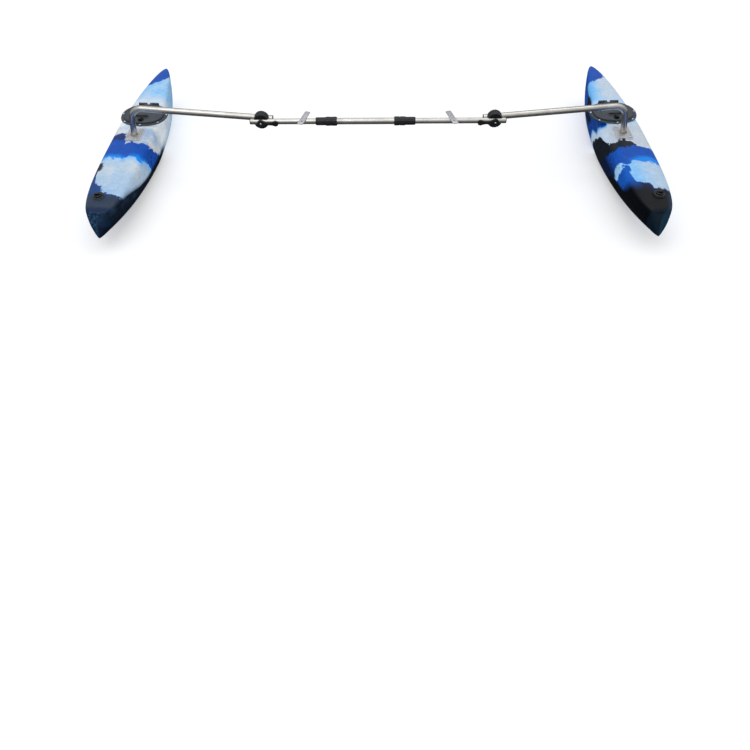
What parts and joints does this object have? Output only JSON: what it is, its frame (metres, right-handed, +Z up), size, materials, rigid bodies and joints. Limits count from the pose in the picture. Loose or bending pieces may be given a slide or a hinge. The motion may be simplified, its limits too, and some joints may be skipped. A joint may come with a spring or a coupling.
{
  "type": "kayak outrigger",
  "caption": "Outrigger for a small boat: telescoping crossbar, swivel knuckles, bent arms and boat-shaped floats with storage hatches.",
  "frame": {"origin": "on the ground under the middle of the whole outrigger, with both floats standing on it", "axes": "+X along the crossbar to the right float, -Y towards the bows, +Z up"},
  "size_m": [2.2602, 1.1246, 0.3043],
  "materials": {
    "steel": "bright polished stainless steel",
    "black_plastic": "black satin moulded plastic",
    "hatch_plastic": "dark slate-grey satin moulded plastic",
    "float_plastic": "glossy moulded plastic, mottled in blues, pale grey and navy",
    "rubber": "soft black rubber"
  },
  "bodies": {
    "crossbar": {"centre_tube": "steel", "left_coupler_body": "black_plastic", "left_coupler_collet": "hatch_plastic", "left_hold_down_strap": "steel", "left_strap_screw": "steel", "right_coupler_body": "black_plastic", "right_coupler_collet": "hatch_plastic", "right_hold_down_strap": "steel", "right_strap_screw": "steel"},
    "left_lock_nut": {"left_coupler_nut": "black_plastic"},
    "left_extension": {"left_inner_tube": "steel", "left_inner_tube_plug": "black_plastic", "left_knuckle_inner_half": "black_plastic", "left_pivot_bolt": "steel", "left_pivot_washer": "steel"},
    "left_lever": {"left_clamp_lever": "black_plastic"},
    "left_arm": {"left_knuckle_outer_half": "black_plastic", "left_arm_tube": "steel", "left_arm_tube_plug": "black_plastic", "left_base_plate": "steel", "left_plate_screw_1": "steel", "left_plate_screw_2": "steel", "left_plate_screw_3": "steel", "left_plate_screw_4": "steel", "left_float_hull": "float_plastic", "left_hatch_ring": "hatch_plastic", "left_hatch_gasket": "rubber", "left_hatch_hinge_pin": "steel", "left_drain_socket": "black_plastic", "left_drain_seal": "rubber"},
    "left_lid": {"left_hatch_lid": "hatch_plastic"},
    "left_latch": {"left_latch_rotor": "black_plastic"},
    "left_handle": {"left_latch_handle": "black_plastic"},
    "left_plug": {"left_drain_plug": "black_plastic"},
    "right_lock_nut": {"right_coupler_nut": "black_plastic"},
    "right_extension": {"right_inner_tube": "steel", "right_inner_tube_plug": "black_plastic", "right_knuckle_inner_half": "black_plastic", "right_pivot_bolt": "steel", "right_pivot_washer": "steel"},
    "right_lever": {"right_clamp_lever": "black_plastic"},
    "right_arm": {"right_knuckle_outer_half": "black_plastic", "right_arm_tube": "steel", "right_arm_tube_plug": "black_plastic", "right_base_plate": "steel", "right_plate_screw_1": "steel", "right_plate_screw_2": "steel", "right_plate_screw_3": "steel", "right_plate_screw_4": "steel", "right_float_hull": "float_plastic", "right_hatch_ring": "hatch_plastic", "right_hatch_gasket": "rubber", "right_hatch_hinge_pin": "steel", "right_drain_socket": "black_plastic", "right_drain_seal": "rubber"},
    "right_lid": {"right_hatch_lid": "hatch_plastic"},
    "right_latch": {"right_latch_rotor": "black_plastic"},
    "right_handle": {"right_latch_handle": "black_plastic"},
    "right_plug": {"right_drain_plug": "black_plastic"}
  },
  "joints": [
    {"name": "left_nut_turn", "type": "hinge", "parent": "crossbar", "child": "left_lock_nut", "pos_m": [-0.232, -0.05067, 0.24975], "axis": [-1, 0, 0], "range_deg": [0, 90]},
    {"name": "left_extension_slide", "type": "slide", "parent": "crossbar", "child": "left_extension", "axis": [-1, 0, 0], "range_m": [-0.035, 0.13]},
    {"name": "left_lever_turn", "type": "hinge", "parent": "left_extension", "child": "left_lever", "pos_m": [-0.475, -0.05067, 0.24975], "axis": [0, -1, 0], "range_deg": [0, 110]},
    {"name": "left_arm_fold", "type": "hinge", "parent": "left_extension", "child": "left_arm", "pos_m": [-0.475, -0.02167, 0.24975], "axis": [0, 1, 0], "range_deg": [-15, 90]},
    {"name": "left_lid_hinge", "type": "hinge", "parent": "left_arm", "child": "left_lid", "pos_m": [-1.00645, 0.2069, 0.1828], "axis": [-0.9988, 0.0497, 0], "range_deg": [0, 105]},
    {"name": "left_latch_turn", "type": "hinge", "parent": "left_lid", "child": "left_latch", "pos_m": [-1.01301, 0.07506, 0.1858], "axis": [0, 0, -1], "range_deg": [0, 90]},
    {"name": "left_handle_lift", "type": "hinge", "parent": "left_latch", "child": "left_handle", "pos_m": [-1.01321, 0.07107, 0.1909], "axis": [0.9988, -0.0497, 0], "range_deg": [0, 90]},
    {"name": "left_drain_plug_turn", "type": "hinge", "parent": "left_arm", "child": "left_plug", "pos_m": [-1.06911, -0.42677, 0.16719], "axis": [0.0523, -0.0026, -0.9986], "range_deg": [0, 360]},
    {"name": "right_nut_turn", "type": "hinge", "parent": "crossbar", "child": "right_lock_nut", "pos_m": [0.132, -0.05067, 0.24975], "axis": [1, 0, 0], "range_deg": [0, 90]},
    {"name": "right_extension_slide", "type": "slide", "parent": "crossbar", "child": "right_extension", "axis": [1, 0, 0], "range_m": [-0.035, 0.032]},
    {"name": "right_lever_turn", "type": "hinge", "parent": "right_extension", "child": "right_lever", "pos_m": [0.475, -0.05067, 0.24975], "axis": [0, 1, 0], "range_deg": [0, 110]},
    {"name": "right_arm_fold", "type": "hinge", "parent": "right_extension", "child": "right_arm", "pos_m": [0.475, -0.02167, 0.24975], "axis": [0, -1, 0], "range_deg": [-15, 90]},
    {"name": "right_lid_hinge", "type": "hinge", "parent": "right_arm", "child": "right_lid", "pos_m": [1.00645, 0.2069, 0.1828], "axis": [-0.9988, -0.0497, 0], "range_deg": [0, 105]},
    {"name": "right_latch_turn", "type": "hinge", "parent": "right_lid", "child": "right_latch", "pos_m": [1.01301, 0.07506, 0.1858], "axis": [0, 0, 1], "range_deg": [0, 90]},
    {"name": "right_handle_lift", "type": "hinge", "parent": "right_latch", "child": "right_handle", "pos_m": [1.01321, 0.07107, 0.1909], "axis": [0.9988, 0.0497, 0], "range_deg": [0, 90]},
    {"name": "right_drain_plug_turn", "type": "hinge", "parent": "right_arm", "child": "right_plug", "pos_m": [1.06911, -0.42677, 0.16719], "axis": [0.0523, 0.0026, 0.9986], "range_deg": [0, 360]}
  ]
}
